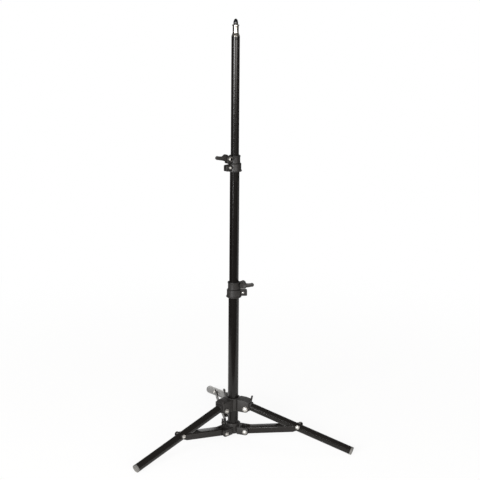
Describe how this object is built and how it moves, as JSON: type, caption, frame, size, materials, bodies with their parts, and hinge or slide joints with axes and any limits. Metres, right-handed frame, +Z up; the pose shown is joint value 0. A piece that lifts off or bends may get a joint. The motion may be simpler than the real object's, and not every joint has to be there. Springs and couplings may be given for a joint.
{
  "type": "light tripod",
  "caption": "Folding light stand: braced legs on a sliding hub, telescoping column with lever clamps, and a spigot with a capped thread stud.",
  "frame": {"origin": "on the floor, in the middle of the box round the three feet", "axes": "+Z up along the column, +Y from the front pair of legs towards the single back leg"},
  "size_m": [0.5246, 0.4563, 1.007],
  "materials": {
    "tube_paint": "gloss black paint on drawn tube",
    "brace_paint": "gloss black paint on folded sheet",
    "moulding": "satin moulded black nylon",
    "liner": "moulded plastic, dark",
    "fastener": "bright zinc plate",
    "spigot": "turned and plated",
    "cap": "gloss black vinyl",
    "rivet": "black rivet head",
    "foot": "grey moulded plastic, scuffed"
  },
  "bodies": {
    "root": {"base_tube": "tube_paint", "lower_clamp": "moulding", "lower_clamp_liner": "liner", "lower_clamp_nut": "fastener", "lower_fixing_screw": "fastener", "lower_fixing_nut": "fastener", "lower_collar": "moulding", "collar_screw": "fastener", "collar_bolt_1": "fastener", "collar_bolt_2": "fastener", "collar_bolt_3": "fastener", "collar_nut_1": "fastener", "collar_nut_2": "fastener", "collar_nut_3": "fastener"},
    "hub": {"hub": "moulding", "hub_bolt_1": "fastener", "hub_bolt_2": "fastener", "hub_bolt_3": "fastener", "hub_nut_1": "fastener", "hub_nut_2": "fastener", "hub_nut_3": "fastener"},
    "middle_guide": {"middle_guide": "liner"},
    "middle_tube": {"middle_tube": "tube_paint", "upper_clamp": "moulding", "upper_clamp_liner": "liner", "upper_clamp_nut": "fastener", "upper_fixing_screw": "fastener", "upper_fixing_nut": "fastener"},
    "top_guide": {"top_guide": "liner"},
    "top_tube": {"top_tube": "tube_paint", "spigot": "spigot", "spigot_rivet": "rivet"},
    "thread_cap": {"thread_cap": "cap"},
    "lower_knob": {"lower_knob": "moulding", "lower_clamp_bolt": "fastener"},
    "upper_knob": {"upper_knob": "moulding", "upper_clamp_bolt": "fastener"},
    "leg_1": {"leg_tube_1": "tube_paint", "leg_head_1": "moulding", "foot_plug_1": "foot", "leg_bolt_1": "fastener", "leg_nut_1": "fastener"},
    "brace_1": {"brace_1": "brace_paint"},
    "leg_2": {"leg_tube_2": "tube_paint", "leg_head_2": "moulding", "foot_plug_2": "foot", "leg_bolt_2": "fastener", "leg_nut_2": "fastener"},
    "brace_2": {"brace_2": "brace_paint"},
    "leg_3": {"leg_tube_3": "tube_paint", "leg_head_3": "moulding", "foot_plug_3": "foot", "leg_bolt_3": "fastener", "leg_nut_3": "fastener"},
    "brace_3": {"brace_3": "brace_paint"}
  },
  "joints": [
    {"name": "fold", "type": "hinge", "parent": "root", "child": "brace_1", "pos_m": [0, -0.03642, 0.0256], "axis": [1, 0, 0], "range_deg": [0, 69.8]},
    {"name": "leg_1_fold", "type": "hinge", "parent": "brace_1", "child": "leg_1", "pos_m": [0, 0.09347, 0.05457], "axis": [1, 0, 0], "range_deg": [-139.6, 0]},
    {"name": "hub_level", "type": "hinge", "parent": "leg_1", "child": "hub", "pos_m": [0, -0.03642, 0.08353], "axis": [1, 0, 0], "range_deg": [0, 69.8]},
    {"name": "leg_2_fold", "type": "hinge", "parent": "hub", "child": "leg_2", "pos_m": [-0.03031, -0.08891, 0.08353], "axis": [-0.5, 0.866, 0], "range_deg": [-69.8, 0]},
    {"name": "leg_3_fold", "type": "hinge", "parent": "hub", "child": "leg_3", "pos_m": [0.03031, -0.08891, 0.08353], "axis": [-0.5, -0.866, 0], "range_deg": [-69.8, 0]},
    {"name": "brace_2_fold", "type": "hinge", "parent": "root", "child": "brace_2", "pos_m": [-0.03031, -0.08891, 0.0256], "axis": [-0.5, 0.866, 0], "range_deg": [0, 69.8]},
    {"name": "brace_3_fold", "type": "hinge", "parent": "root", "child": "brace_3", "pos_m": [0.03031, -0.08891, 0.0256], "axis": [-0.5, -0.866, 0], "range_deg": [0, 69.8]},
    {"name": "middle_slide", "type": "slide", "parent": "root", "child": "middle_guide", "axis": [0, 0, 1], "range_m": [-0.242, 0]},
    {"name": "middle_turn", "type": "hinge", "parent": "middle_guide", "child": "middle_tube", "pos_m": [0, -0.07142, 0.3], "axis": [0, 0, 1], "continuous": true},
    {"name": "top_slide", "type": "slide", "parent": "middle_tube", "child": "top_guide", "axis": [0, 0, 1], "range_m": [-0.261, 0]},
    {"name": "top_turn", "type": "hinge", "parent": "top_guide", "child": "top_tube", "pos_m": [0, -0.07142, 0.3], "axis": [0, 0, 1], "continuous": true},
    {"name": "cap_pull", "type": "slide", "parent": "top_tube", "child": "thread_cap", "axis": [0, 0, 1], "range_m": [0, 0.014]},
    {"name": "lower_lever_turn", "type": "hinge", "parent": "root", "child": "lower_knob", "pos_m": [0.02114, -0.07476, 0.3905], "axis": [-0.1564, -0.9877, 0], "range_deg": [0, 90]},
    {"name": "upper_lever_turn", "type": "hinge", "parent": "middle_tube", "child": "upper_knob", "pos_m": [-0.01697, -0.08181, 0.6925], "axis": [-0.5225, 0.8526, 0], "range_deg": [0, 90]}
  ],
  "couplings": [
    {"joint": "leg_1_fold", "follows": "fold", "ratio": -2},
    {"joint": "hub_level", "follows": "fold", "ratio": 1},
    {"joint": "leg_2_fold", "follows": "fold", "ratio": -1},
    {"joint": "leg_3_fold", "follows": "fold", "ratio": -1},
    {"joint": "brace_2_fold", "follows": "fold", "ratio": 1},
    {"joint": "brace_3_fold", "follows": "fold", "ratio": 1}
  ]
}
